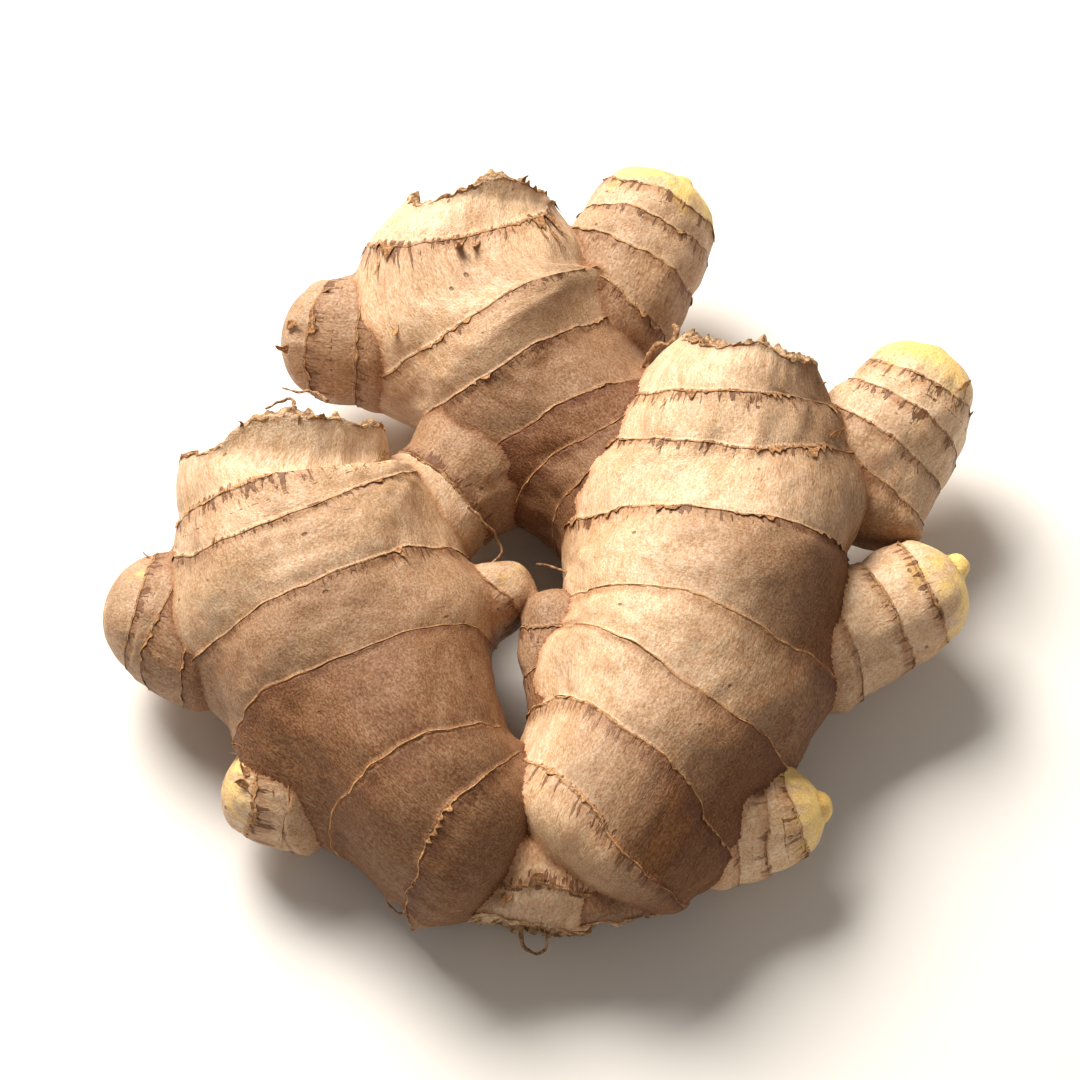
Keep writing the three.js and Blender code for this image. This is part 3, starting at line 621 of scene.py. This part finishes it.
def paint_of(limb, s, a, share):
    """What the skin's finish reads at each point: the distance to the nearest ring and how
    brown that ring is, the place between two rings and its tone less painted shade on one side
    of the limb, then how yellow the tip is and how much of a broken scar shows."""
    rings = [r[0] for r in limb["rings"]]
    places = np.array([-NO_RING] + rings + [limb["length"] + NO_RING])
    brown = np.array([0.0] + [r[3] for r in limb["rings"]] + [0.0])
    here = np.searchsorted(places, s[:, 0]) - 1
    here = np.clip(here, 0, len(places) - 2)
    low, high = places[here], places[here + 1]
    nearer_high = (high - s[:, 0]) < (s[:, 0] - low)
    ring = np.where(nearer_high, high - s[:, 0], s[:, 0] - low)
    kind = np.where(nearer_high, brown[here + 1], brown[here])
    stage = np.clip((s[:, 0] - low) / (high - low), 0, 1)
    tones = np.array(limb["tones"])
    tip = np.clip(1 - (limb["length"] - s[:, 0]) / YELLOW_REACH, 0, 1)
    from_rim = s[:, 0] - limb["length"]
    scar = limb["scar"] * np.clip((from_rim + SCAR_EDGE) / SCAR_EDGE, 0, 1)
    scar = np.where(share[:, 0] < 1, scar, SCAR_ON_SKIN * scar)
    wide = 0 * a
    marks = np.stack([ring[:, None] + wide, kind[:, None] + wide, stage[:, None] + wide], -1)
    paint = np.stack([
        limb["yellow"] * tip[:, None] + wide, scar[:, None] + wide,
        # The tone, less painted shade towards one side of the limb by cos a
        tones[here][:, None] - limb["shaded"] * np.cos(a),
    ], -1)
    return marks, paint


def closed_faces(rows, columns):
    """Quads of a grid that closes round on itself, and triangles that join its first and last
    row to one point each."""
    i, j = np.meshgrid(np.arange(rows - 1), np.arange(columns), indexing="ij")
    k = (j + 1) % columns
    below, above = i * columns, (i + 1) * columns
    quads = np.stack([below + j, above + j, above + k, below + k], -1)
    base = rows * columns
    j = np.arange(columns)
    k = (j + 1) % columns
    top = (rows - 1) * columns
    start = np.stack([0 * j + base, j, k], -1)
    end = np.stack([0 * j + base + 1, top + k, top + j], -1)
    return quads.reshape(-1, 4), np.vstack([start, end])


def make_mesh(name, points, quads, triangles, corners=None, spots=None):
    """A mesh from points in mm and its faces. corners are vectors for each corner of each face,
    read from one value per point, and spots are numbers for each point."""
    mesh = bpy.data.meshes.new(name)
    loops = np.concatenate([quads.ravel(), triangles.ravel()])
    mesh.vertices.add(len(points))
    mesh.vertices.foreach_set("co", (points * MM).astype(np.float32).ravel())
    mesh.loops.add(len(loops))
    mesh.loops.foreach_set("vertex_index", loops.astype(np.int32))
    starts = np.concatenate([
        4 * np.arange(len(quads)), 4 * len(quads) + 3 * np.arange(len(triangles)),
    ])
    mesh.polygons.add(len(starts))
    mesh.polygons.foreach_set("loop_start", starts.astype(np.int32))
    mesh.update(calc_edges=True)
    for key, values in (corners or {}).items():
        layer = mesh.attributes.new(key, "FLOAT_VECTOR", "CORNER")
        layer.data.foreach_set("vector", values[loops].astype(np.float32).ravel())
    for key, values in (spots or {}).items():
        layer = mesh.attributes.new(key, "FLOAT", "POINT")
        layer.data.foreach_set("value", values.astype(np.float32))
    mesh.shade_smooth()
    return mesh


def add_object(name, data, material=None):
    """An object of a mesh, a light or a camera in the scene."""
    piece = bpy.data.objects.new(name, data)
    bpy.context.scene.collection.objects.link(piece)
    if material:
        data.materials.append(material)
    return piece


def limb_mesh(limb):
    """One limb as a closed grid of its surface() over skin_rows() and even angles."""
    step = LOBE_STEP if limb["thick"] else FINGER_STEP
    columns = max(20, int(AROUND * math.pi * limb["widest"] / step))
    s, share = skin_rows(limb)
    angles = TAU * np.arange(columns) / columns
    s, a = np.meshgrid(s, angles, indexing="ij")
    share = share[:, None] + 0 * a
    p, _ = surface(limb, s, a, share)
    line = limb["line"]
    base = line["centre"][0]
    past = SCAR_FACE[-1][0] if limb["scar"] else 0
    tip = line["centre"][-1] + line["along"][-1] * past
    points = np.vstack([p.reshape(-1, 3), base, tip]) + SHIFT
    grain = grain_at(limb, s + stray_at(limb, s, a), a, share).reshape(-1, 3)
    ends = np.array([[0, 0, 0], [0, 0, limb["length"]]]) + GRAIN_APART * limb["key"]
    marks, paint = (v.reshape(-1, 3) for v in paint_of(limb, s, a, share))
    corners = {
        "grain": np.vstack([grain, ends]),
        "marks": np.vstack([marks, marks[0], marks[-1]]),
        "paint": np.vstack([paint, paint[0], paint[-1]]),
    }
    quads, triangles = closed_faces(*s.shape)
    return make_mesh("limb_" + limb["name"], points, quads, triangles, corners)


def united(meshes):
    """The Boolean union of the limbs' meshes, as the source joins its limbs."""
    first = add_object("union_base", meshes[0])
    others = bpy.data.collections.new("union_others")
    for mesh in meshes[1:]:
        others.objects.link(bpy.data.objects.new(mesh.name, mesh))
    join = first.modifiers.new("join", "BOOLEAN")
    join.operation = "UNION"
    join.solver = "MANIFOLD"
    join.operand_type = "COLLECTION"
    join.collection = others
    seen = first.evaluated_get(bpy.context.evaluated_depsgraph_get())
    made = bpy.data.meshes.new_from_object(seen)
    made.materials.clear()
    for piece in [first] + list(others.objects):
        bpy.data.objects.remove(piece)
    bpy.data.collections.remove(others)
    return made


def read(data, key, width, kind=np.float32):
    """One key of a mesh's data as an array, a row for each element where width is over 1."""
    values = np.zeros(len(data) * width, kind)
    data.foreach_get(key, values)
    return values.reshape(-1, width) if width > 1 else values


def soften_creases(mesh):
    """Marks the vertices where two limbs meet, which the corners' grain gives away because
    it differs between the limbs, spreads the mark over a few rings of edges, and
    moves marked vertices towards the mean of their neighbours. Flattens what lies under the
    table. Keeps how near the crease each vertex is as an attribute."""
    count = len(mesh.vertices)
    grain = read(mesh.attributes["grain"].data, "vector", 3)
    loops = read(mesh.loops, "vertex_index", 1, np.int32)
    limb = np.round(grain[:, 1] / GRAIN_APART)
    low = np.full(count, 1e9)
    high = np.full(count, -1e9)
    np.minimum.at(low, loops, limb)
    np.maximum.at(high, loops, limb)
    edges = read(mesh.edges, "vertices", 2, np.int32)
    degree = np.bincount(edges.ravel(), minlength=count).astype(float)

    def mean_round(values):
        total = np.bincount(edges[:, 0], values[edges[:, 1]], count)
        total = total + np.bincount(edges[:, 1], values[edges[:, 0]], count)
        return total / np.maximum(degree, 1)

    on_crease = (high > low).astype(float)
    near = on_crease.copy()
    for k in range(CREASE_ROUNDS):
        spread = near.copy()
        np.maximum.at(spread, edges[:, 0], near[edges[:, 1]] - 1 / CREASE_ROUNDS)
        np.maximum.at(spread, edges[:, 1], near[edges[:, 0]] - 1 / CREASE_ROUNDS)
        near = spread
    co = read(mesh.vertices, "co", 3)
    for k in range(CREASE_PASSES):
        mean = np.stack([mean_round(co[:, m]) for m in range(3)], -1)
        co = co + 0.5 * near[:, None] * (mean - co)
    co[:, 2] = np.maximum(co[:, 2], 0)
    low_box, high_box = (np.array(corner) for corner in CAD_BOX)
    co = np.clip(co, low_box + ROOM * MM, high_box - ROOM * MM)
    co[:, 2] = np.where(co[:, 2] <= 2 * ROOM * MM, 0, co[:, 2])
    mesh.vertices.foreach_set("co", co.astype(np.float32).ravel())
    # How near each vertex is to a fold, spread softly: the skin paints shade in the folds from it
    fold_shade_spread = on_crease.copy()
    for k in range(FOLD_SHADE_ROUNDS):
        fold_shade_spread = np.maximum(fold_shade_spread * FOLD_SHADE_KEPT, 0.5 * (fold_shade_spread + mean_round(fold_shade_spread)))
    layer = mesh.attributes.new("crease", "FLOAT", "POINT")
    layer.data.foreach_set("value", fold_shade_spread.astype(np.float32))
    mesh.update()


def strip_faces(rows, columns):
    """Quads of a grid that closes round on itself both ways."""
    i, j = np.meshgrid(np.arange(rows), np.arange(columns), indexing="ij")
    n = (i + 1) % rows
    k = (j + 1) % columns
    quads = np.stack([i * columns + j, i * columns + k, n * columns + k, n * columns + j], -1)
    return quads.reshape(-1, 4)


def scale_edge(limb, place, brown, rise, lie, seed):
    """What is left of a leaf scale along one hoop of a limb, as a closed strip: its root sits
    under the skin, and its free edge stands out of the skin by rise and lies along it
    by lie, each times ragged noise round the limb. Where the noise is low the edge sinks under
    the skin, so the hoop is broken. Gives the points and how brown each is."""
    columns = max(40, int(math.pi * limb["widest"] * AROUND / EDGE_STEP))
    a = TAU * np.arange(columns) / columns
    radius = limb["widest"] * 0.45
    hoop = np.stack([radius * np.cos(a), radius * np.sin(a), 0 * a], -1)
    broad = waves(hoop, 12, 9.0, seed)
    teeth = waves(hoop, 16, 2.2, seed + 1)
    fray = waves(hoop, 16, 0.9, seed + 2)
    high = rise * np.clip(0.3 + 0.5 * broad + 0.25 * teeth + 0.15 * fray, -0.5, 1.6)
    torn = np.clip(broad - 0.1, 0, 1) * np.clip(0.3 + 0.8 * teeth + 0.4 * fray, 0, 2)
    far = lie * (0.15 + torn)
    thick = EDGE_THICK * (0.9 + 0.2 * teeth)
    s = np.stack([
        place - thick, place + thick, place + 0.45 * far + 0.7 * thick,
        place + far + 0.3 * thick, place + far - 0.3 * thick, place + 0.45 * far - 0.7 * thick,
    ])
    root = 0 * a - EDGE_ROOT
    lift = np.stack([root, root, 0.65 * high, high, high, 0.65 * high + 0.5 * thick])
    p, _ = surface(limb, s, a + 0 * s, 1.0, lift)
    return p, np.clip(brown + 0.3 * broad + 0 * s, 0, 1)


def flake(limb, place, angle, way, wide, long, curl, seed):
    """A torn bit of leaf scale rooted in the skin at place and angle: a thin tapering sheet that
    runs along the limb by long sin(curl v) / curl and stands off it by long (1 - cos(curl v)) /
    curl, v going from 0 at its root to 1 at its tip. Way is 1 towards the limb's end and -1
    towards its base."""
    v = np.linspace(0, 1, FLAKE_ROWS)[:, None]
    across = np.linspace(-1, 1, FLAKE_COLUMNS)
    loop = np.concatenate([across, across[::-1]])[None, :]
    side = np.concatenate([0 * across + 1, 0 * across - 1])[None, :]
    rng = np.random.default_rng(seed)
    sway = 0.35 * wide * np.sin(3 * v + rng.uniform(0, TAU))
    half = 0.5 * wide * (1 - v) ** 0.7 * (1 + 0.25 * np.sin(9 * v + rng.uniform(0, TAU)))
    off = (half * loop + sway * v) / (limb["widest"] / 2)
    along = long * np.sin(curl * v) / curl
    lift = long * (1 - np.cos(curl * v)) / curl - 0.25 * (1 - v)
    cup = 0.2 * half * loop ** 2
    s = place + way * along + 0 * loop
    p, _ = surface(limb, s, angle + off, 1.0, lift + cup + FLAKE_THICK * side)
    return p


def sheet_part(p):
    """A closed grid with a middle point over each of its end rows: points and faces."""
    points = np.vstack([p.reshape(-1, 3), p[0].mean(0), p[-1].mean(0)])
    return (points,) + closed_faces(*p.shape[:2])


def joined(parts):
    """The points and faces of several parts as those of one mesh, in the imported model's frame."""
    points, quads, triangles = zip(*parts)
    starts = np.cumsum([0] + [len(p) for p in points[:-1]])
    quads = np.vstack([q + start for q, start in zip(quads, starts)])
    triangles = np.vstack([t + start for t, start in zip(triangles, starts)])
    return inside_box(np.vstack(points) + SHIFT), quads, triangles


def scale_edges(material):
    """The leaf-scale remains on all rings and round the broken rims, and the torn flakes, as
    one piece."""
    parts, browns = [], []
    no_triangles = np.zeros((0, 3), int)
    for limb in LIMBS.values():
        size = 1.0 if limb["thick"] else 0.7
        hoops = []
        for place, _, _, brown in limb["rings"]:
            rise = size * (EDGE_RISE[0] + EDGE_RISE[1] * brown)
            hoops.append((place, brown, rise, -size * EDGE_LIE * brown))
        if limb["scar"]:
            brown, rise, lie = RIM_EDGE
            hoops.append((limb["length"] - 0.2, brown, rise * size, lie * size))
        for k, hoop in enumerate(hoops):
            p, shade = scale_edge(limb, *hoop, EDGE_SEED + 40 * limb["key"] + 3 * k)
            parts.append((p.reshape(-1, 3), strip_faces(*shade.shape), no_triangles))
            browns.append(shade.ravel())
    flakes = [(LIMBS[name], *row) for name, rows in FLAKES.items() for row in rows]
    for k, (*shape, brown) in enumerate(flakes):
        parts.append(sheet_part(flake(*shape, FLAKE_SEED + k)))
        browns.append(np.full(len(parts[-1][0]), brown))
    mesh = make_mesh("scale_edges", *joined(parts), spots={"brown": np.concatenate(browns)})
    return add_object("leaf_scale_edges", mesh, material)


def rootlets(material):
    """Thin dried rootlets, each a round tube along a smooth curve through its points, thinner
    towards its far end by radius (1 - 0.55 t) and uneven by noise, as one piece."""
    parts = []
    for k, (radius, places) in enumerate(ROOTLETS):
        line = centre_line([p + (1, 1) for p in places])
        t = line["s"] / line["s"][-1]
        a = TAU * np.arange(ROOTLET_COLUMNS) / ROOTLET_COLUMNS
        knots = 1 + 0.16 * waves(line["centre"], 12, 2.2, ROOTLET_SEED + k)
        size = (radius * (1 - 0.55 * t) * knots)[:, None, None]
        bends = [waves(line["centre"], 8, 3.5, ROOTLET_SEED + 100 + 3 * k + m) for m in range(3)]
        p = (line["centre"] + 0.35 * radius * np.stack(bends, -1))[:, None, :]
        p = p + line["side"][:, None, :] * size * np.cos(a)[None, :, None]
        p = p + line["up"][:, None, :] * size * np.sin(a)[None, :, None]
        parts.append(sheet_part(p))
    return add_object("dried_rootlets", make_mesh("rootlets", *joined(parts)), material)


def inside_box(points):
    """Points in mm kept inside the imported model's box."""
    low, high = (np.array(corner) / MM for corner in CAD_BOX)
    return np.clip(points, low + ROOM, high - ROOM)


def linear(hex_colour):
    """An sRGB hex colour as linear red, green, blue and 1."""
    values = [int(hex_colour[k:k + 2], 16) / 255 for k in (1, 3, 5)]
    return [v / 12.92 if v <= 0.04045 else ((v + 0.055) / 1.055) ** 2.4 for v in values] + [1.0]


def fill_sockets(node, sockets):
    """Fills a node's inputs, in order or by name or number, each with another node's output, a
    value or a hex colour."""
    if not isinstance(sockets, dict):
        sockets = dict(enumerate(sockets))
    for key, value in sockets.items():
        if isinstance(value, bpy.types.NodeSocket):
            node.id_data.links.new(value, node.inputs[key])
        else:
            node.inputs[key].default_value = linear(value) if isinstance(value, str) else value


def add_node(tree, kind, sockets, out=0, stops=(), **settings):
    """Adds a shader node with its sockets filled and gives one of its outputs, or all where out
    is None. settings are its own properties, and stops the places and hex colours of a ramp."""
    node = tree.nodes.new("ShaderNode" + kind)
    for key, value in settings.items():
        setattr(node, key, value)
    fill_sockets(node, sockets)
    if stops:
        band = node.color_ramp.elements
        while len(band) < len(stops):
            band.new(0.5)
        for element, (place, colour) in zip(band, stops):
            element.position = place
            element.color = linear(colour)
    return node.outputs if out is None else node.outputs[out]


def new_material(name):
    """A material, its shader, and add_node for its tree."""
    material = bpy.data.materials.new(name)
    material.use_nodes = True
    tree = material.node_tree
    return material, tree.nodes["Principled BSDF"], functools.partial(add_node, tree)


def rhizome_skin():
    """Fresh ginger skin: a thin corky layer over pale yellow flesh, dried to a satin tan with
    short fibres along each limb. Cream flecks lie over brown, young tips stay yellow, painted
    shade darkens the folds between limbs to a deeper orange tan and one side of some limbs,
    and rings are raised scars of leaf scales."""
    material, shader, add = new_material("ginger_cork_skin")
    made = {"place": add("TexCoord", (), "Object")}
    for name in ("grain", "marks", "paint"):
        made[name] = add("Attribute", (), "Vector", attribute_name=name)
    made["crease"] = add("Attribute", (), "Fac", attribute_name="crease")
    made["away"], made["brown"], made["stage"] = add("SeparateXYZ", [made["marks"]], None)
    # The third paint value is the tone less painted shade on one side of the limb
    made["yellow"], made["scar"], made["tone"] = add("SeparateXYZ", [made["paint"]], None)

    # Noises: what they read, cell size in mm round and along a limb, detail, roughness,
    # distortion and shift. Grit and fibres are 0.3 mm wide, flecks 1 mm, patches 4 and 15 mm
    for name, source, wide, long, detail, roughness, distortion, shift in (
        ("grit", "grain", 0.33, 0.4, 2.0, 0.65, 0.0, 3.0),
        ("fibre", "grain", 0.28, 0.7, 2.0, 0.6, 0.4, 0.0),
        ("fleck", "grain", 1.0, 2.4, 2.0, 0.55, 0.3, 7.0),
        ("patch", "grain", 4.5, 6.0, 3.0, 0.55, 0.5, 19.0),
        ("field", "grain", 15.0, 15.0, 2.0, 0.5, 0.0, 31.0),
        ("wobble", "grain", 1.3, 1.3, 2.0, 0.6, 0.0, 41.0),
        ("breaks", "grain", 2.0, 2.0, 2.0, 0.6, 0.0, 61.0),
        ("shreds", "grain", 0.9, 4.0, 3.0, 0.6, 0.3, 53.0),
        ("flesh", "place", 1.2 * MM, 1.2 * MM, 4.0, 0.65, 0.0, 0.0),
    ):
        scaled = add("Mapping", {
            "Vector": made[source], "Location": (shift,) * 3,
            "Scale": (1 / wide, 1 / wide, 1 / long),
        })
        made[name] = add("TexNoise", {
            "Vector": scaled, "Scale": 1.0, "Detail": detail, "Roughness": roughness,
            "Distortion": distortion,
        })

    # Dark pits half a millimetre wide, in some of the cells of a 4.5 mm Voronoi pattern
    spots = add("Mapping", {"Vector": made["grain"], "Scale": (0.22, 0.22, 0.22)})
    cells = add("TexVoronoi", {"Vector": spots, "Scale": 1.0}, None)
    made["dot"] = cells["Distance"]
    made["chance"] = add("SeparateXYZ", [cells["Color"]])

    # What is worked out from these: a name, the operation and what it reads. SMOOTH is a smooth
    # step from the first number to the second, with the values before and after if not 0 and 1
    rows = [
        # A weighted sum of the noises, a little darker towards a ring
        ("spread", "MULTIPLY_ADD", "stage", -0.04, 0.02),
        ("spread", "MULTIPLY_ADD", "fibre", 0.27, "spread"),
        ("spread", "MULTIPLY_ADD", "grit", 0.33, "spread"),
        ("spread", "MULTIPLY_ADD", "fleck", 0.15, "spread"),
        ("spread", "MULTIPLY_ADD", "patch", 0.25, "spread"),
        # Old skin is thicker and browner between some rings than between others, and painted
        #         # shade darkens one side of some limbs
        ("speckle", "SMOOTH", "grit", 0.4, 0.6, 1.06, 0.94),
        ("deep", "SUBTRACT", 1.0, "tone"), ("deep", "MULTIPLY", "deep", "speckle"),
        ("stain", "SMOOTH", "patch", 0.52, 0.7, 0.0, 0.45),
        ("dull", "SMOOTH", "field", 0.46, 0.66, 0.0, 0.3),
        # Painted shade in the folds between limbs, in a warm orange tan
        ("fold", "SMOOTH", "crease", 0.25, 0.95, 0.0, 0.75),
        # Young yellow skin breaks up towards the limb
        ("young", "MULTIPLY_ADD", "patch", 1.6, -0.8), ("young", "ADD", "yellow", "young"),
        ("young", "SMOOTH", "young", 0.3, 0.85),
        # Signed distance past the nearest ring in mm, and the same with a wobble
        ("side", "SMOOTH", "stage", 0.45, 0.55, 1.0, -1.0), ("ring", "MULTIPLY", "away", "side"),
        ("near", "MULTIPLY_ADD", "wobble", 0.6, -0.3), ("near", "ADD", "ring", "near"),
        ("close", "SMOOTH", "away", 1.4, 2.6, 1.0, 0.0),
        ("reach", "SMOOTH", "away", 2.6, 5.0, 1.0, 0.0),
    ]
    # Bands along a ring, each a smooth rise and a smooth fall: a light ridge, a brown line
    # before it, a shaded strip, and the strip where torn remains hang
    for name, across, rise, fall, within in (
        ("ridge", "near", (-0.45, -0.15), (0.1, 0.25), "close"),
        ("line", "near", (-0.7, -0.35), (-0.3, -0.1), "close"),
        ("shade", "ring", (-3.2, -0.7), (-0.6, -0.1), "close"),
        ("hang", "ring", (-4.5, -0.3), (0.2, 0.5), "reach"),
    ):
        rows += [("slope", "SMOOTH", across, *rise), (name, "MULTIPLY", within, "slope"),
                 ("slope", "SMOOTH", across, *fall, 1.0, 0.0), (name, "MULTIPLY", name, "slope")]
    rows += [
        ("broken", "SMOOTH", "breaks", 0.42, 0.6), ("line", "MULTIPLY", "line", "broken"),
        ("torn", "MULTIPLY_ADD", "hang", 0.16, "shreds"), ("torn", "SMOOTH", "torn", 0.69, 0.75),
        ("hang", "MULTIPLY", "brown", "hang"), ("torn", "MULTIPLY", "torn", "hang"),
        ("torn", "MULTIPLY", "torn", 3.0), ("torn", "MINIMUM", "torn", 0.85),
        ("dot", "SMOOTH", "dot", 0.05, 0.1, 1.0, 0.0), ("chance", "SMOOTH", "chance", 0.6, 0.62),
        ("pit", "MULTIPLY", "dot", "chance"), ("pit_share", "MULTIPLY", "pit", 0.7),
        ("shade_share", "MULTIPLY", "shade", 0.35), ("ridge_share", "MULTIPLY", "ridge", 0.6),
        ("ink", "MULTIPLY_ADD", "brown", 0.5, 0.2), ("ink", "MULTIPLY", "line", "ink"),
        ("flesh_share", "SMOOTH", "scar", 0.3, 0.9),
        # Fibres have a satin sheen; old skin and broken flesh are duller
        ("rough", "SMOOTH", "fibre", 0.35, 0.65, 0.56, 0.44),
        ("rough", "MULTIPLY_ADD", "deep", 0.2, "rough"),
        ("dry", "MULTIPLY", "scar", 0.85), ("rough", "MAXIMUM", "rough", "dry"),
        # The height is in units of 0.3 mm, so a fibre stands about 0.1 mm proud
        ("height", "MULTIPLY", "scar", "flesh"), ("height", "MULTIPLY", "height", 5.0),
    ]
    rows += [("height", "MULTIPLY_ADD", part, weight, "height") for part, weight in (
        ("fibre", 0.3), ("grit", 0.45), ("fleck", 0.7), ("patch", 1.2), ("ridge", 0.8),
        ("line", -0.8), ("torn", 1.0), ("pit", -0.8),
    )]
    for name, operation, *sockets in rows:
        sockets = [made[v] if isinstance(v, str) else v for v in sockets]
        if operation == "SMOOTH":
            made[name] = add("MapRange", sockets, interpolation_type="SMOOTHSTEP")
        else:
            made[name] = add("Math", sockets, operation=operation, use_clamp=name == "deep")

    for name, source, stops in (
        ("cork", "spread", ((0.34, "#ab8056"), (0.43, "#caa075"), (0.50, "#dcb892"),
                            (0.57, "#eaceae"), (0.68, "#f5e3cb"))),
        ("tip_colour", "spread", ((0.36, "#cf9c4c"), (0.5, "#e8c06a"), (0.64, "#f5dd98"))),
        ("flesh_colour", "flesh", ((0.36, "#5d3f28"), (0.47, "#96704b"), (0.6, "#cfae84"))),
    ):
        made[name] = add("ValToRGB", [made[source]], stops=stops)

    # Layers of colour on what lies below: the ridge's own, then the skin's from the lowest up:
    #     # old skin with painted side shade, orange-brown stains, dull patches, painted fold shade,
    #     # young tips, rings with their shade, ridge and line, torn remains, pits, and broken scars
    #     # of dried flesh with dark fibres
    made["ridge_colour"] = linear("#cc9e69")
    for name, share, over, blend in (
        ("ridge_colour", "brown", "#a9733f", "MIX"),
        ("ridge_colour", "deep", "#ad7d4a", "MULTIPLY"),
        # Old skin and painted side shade darken the cork
        ("cork", "deep", "#805d33", "MULTIPLY"), ("cork", "stain", "#c99a68", "MULTIPLY"),
        # Painted shade darkens the folds between limbs
        ("cork", "dull", "#c3a88d", "MULTIPLY"), ("cork", "fold", "#cf9a62", "MULTIPLY"),
        ("cork", "young", "tip_colour", "MIX"), ("cork", "shade_share", "#b98a5e", "MULTIPLY"),
        ("cork", "ridge_share", "ridge_colour", "MIX"), ("cork", "ink", "#6e4426", "MIX"),
        ("cork", "torn", "#6b4226", "MIX"), ("cork", "pit_share", "#5f3c22", "MIX"),
        ("cork", "flesh_share", "flesh_colour", "MIX"),
    ):
        layer = {0: made[share], 6: made[name], 7: made.get(over, over)}
        made[name] = add("Mix", layer, 2, data_type="RGBA", blend_type=blend)

    bump = {"Height": made["height"], "Strength": 0.8, "Distance": 0.3 * MM}
    fill_sockets(shader, {
        "Base Color": made["cork"], "Roughness": made["rough"], "Normal": add("Bump", bump),
        "IOR": 1.42, "Subsurface Weight": 0.08, "Subsurface Scale": 1.0,
        "Subsurface Radius": (2.0 * MM, 1.0 * MM, 0.5 * MM),
    })
    return material


def dried_fibre(name, thread, bump_depth, stops, torn_stops=()):
    """Dried plant fibre: papery threads of the given size in mm, matt. The remains of leaf
    scales are golden tan where they are thin, and browner where they are torn; a rootlet is
    shrivelled and brown all over."""
    material, shader, add = new_material(name)
    place = add("TexCoord", (), "Object")
    noises = []
    wanted = [(thread, 3.0, 0.6, 0.0)] + ([(3.0, 2.0, 0.5, 5.0)] if torn_stops else [])
    for size, detail, roughness, shift in wanted:
        scaled = add("Mapping", {
            "Vector": place, "Location": (shift,) * 3, "Scale": (1 / (size * MM),) * 3,
        })
        noises.append(add("TexNoise", {
            "Vector": scaled, "Scale": 1.0, "Detail": detail, "Roughness": roughness,
        }))
    colour = add("ValToRGB", noises[:1], stops=stops)
    if torn_stops:
        dark = add("ValToRGB", noises[:1], stops=torn_stops)
        brown = add("Attribute", (), "Fac", attribute_name="brown")
        share = add("Math", (noises[1], 1.6, -0.8), operation="MULTIPLY_ADD")
        share = add("Math", (brown, share), operation="ADD")
        share = add("MapRange", (share, 0.3, 0.9), interpolation_type="SMOOTHSTEP")
        colour = add("Mix", {0: share, 6: colour, 7: dark}, 2, data_type="RGBA")
    bump = {"Height": noises[0], "Strength": 0.6, "Distance": bump_depth * MM}
    fill_sockets(shader, {
        "Base Color": colour, "Normal": add("Bump", bump), "Roughness": 0.75, "IOR": 1.45,
    })
    return material


def dry_leaf_scale():
    """Remains of leaf scales, with threads of 0.5 mm."""
    return dried_fibre("dry_leaf_scale", 0.5, 0.15,
                       ((0.35, "#946738"), (0.5, "#b58552"), (0.65, "#d2a672")),
                       ((0.35, "#6b4627"), (0.5, "#93653c"), (0.65, "#bb8c5b")))


def dry_rootlet():
    """Shrivelled rootlets, with threads of 0.6 mm."""
    return dried_fibre("dry_rootlet", 0.6, 0.2,
                       ((0.35, "#5b3d25"), (0.5, "#8a6443"), (0.65, "#b8926a")))


skin = add_object("ginger_skin", united([limb_mesh(limb) for limb in LIMBS.values()]),
                  rhizome_skin())
soften_creases(skin.data)
skin.data.shade_smooth()
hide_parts("rhizome")
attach(skin, "root")

scales = scale_edges(dry_leaf_scale())
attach(scales, "root")

roots = rootlets(dry_rootlet())
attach(roots, "root")

# Camera and light
LENS = 100.0
SENSOR = 36.0
ELEVATION = math.radians(60)
DISTANCE = 516.0
LOOKED_AT = np.array([-1.3677, -2.2353, 16.0])
PICTURE = 1080
SEEN_AT = (536, 554)
back = np.array([0.0, -math.cos(ELEVATION), math.sin(ELEVATION)])
right = np.array([1.0, 0.0, 0.0])
above = np.cross(back, right)
per_pixel = DISTANCE * SENSOR / LENS / PICTURE
aside = (PICTURE / 2 - SEEN_AT[0]) * per_pixel
raised = (SEEN_AT[1] - PICTURE / 2) * per_pixel
eye = LOOKED_AT + back * DISTANCE + right * aside + above * raised

camera = add_object("camera", bpy.data.cameras.new("camera"))
camera.data.lens = LENS
camera.data.sensor_width = SENSOR
camera.data.clip_start = 0.01
camera.location = eye * MM
camera.rotation_euler = (math.pi / 2 - ELEVATION, 0, 0)
bpy.context.scene.camera = camera

# The floor: matt pale paper
FLOOR_HALF = 3.0
FLOOR_BELOW = 0.0002
corners = [(x * FLOOR_HALF, y * FLOOR_HALF, 0) for x, y in ((-1, -1), (1, -1), (1, 1), (-1, 1))]
floor_mesh = bpy.data.meshes.new("floor")
floor_mesh.from_pydata(corners, [], [(0, 1, 2, 3)])
paper, paper_shader, _ = new_material("pale_paper")
fill_sockets(paper_shader, {"Base Color": "#e9e6e1", "Roughness": 0.9})
floor = add_object("floor", floor_mesh, paper)
floor.location = (0, 0, -FLOOR_BELOW)


def area_light(name, place, size, power, colour):
    """A square soft light at a place in metres that faces the rhizome."""
    data = bpy.data.lights.new(name, "AREA")
    data.shape = "SQUARE"
    data.size = size
    data.energy = power
    data.color = linear(colour)[:3]
    lamp = add_object(name, data)
    way = np.array([0, 0, 0.02]) - np.array(place)
    lamp.location = place
    lamp.rotation_euler = (
        math.atan2(math.hypot(way[0], way[1]), -way[2]), 0, math.atan2(way[0], -way[1]) + math.pi,
    )


area_light("key", (-0.32, 0.5, 0.72), 0.5, 18, "#fffaf3")
area_light("fill", (0.4, -0.7, 0.6), 0.9, 0.8, "#f6f4f2")
world = bpy.data.worlds.new("studio")
bpy.context.scene.world = world
world.use_nodes = True
fill_sockets(world.node_tree.nodes["Background"], {"Color": "#faf1e6", "Strength": 0.26})
bpy.context.scene.view_settings.view_transform = "Standard"
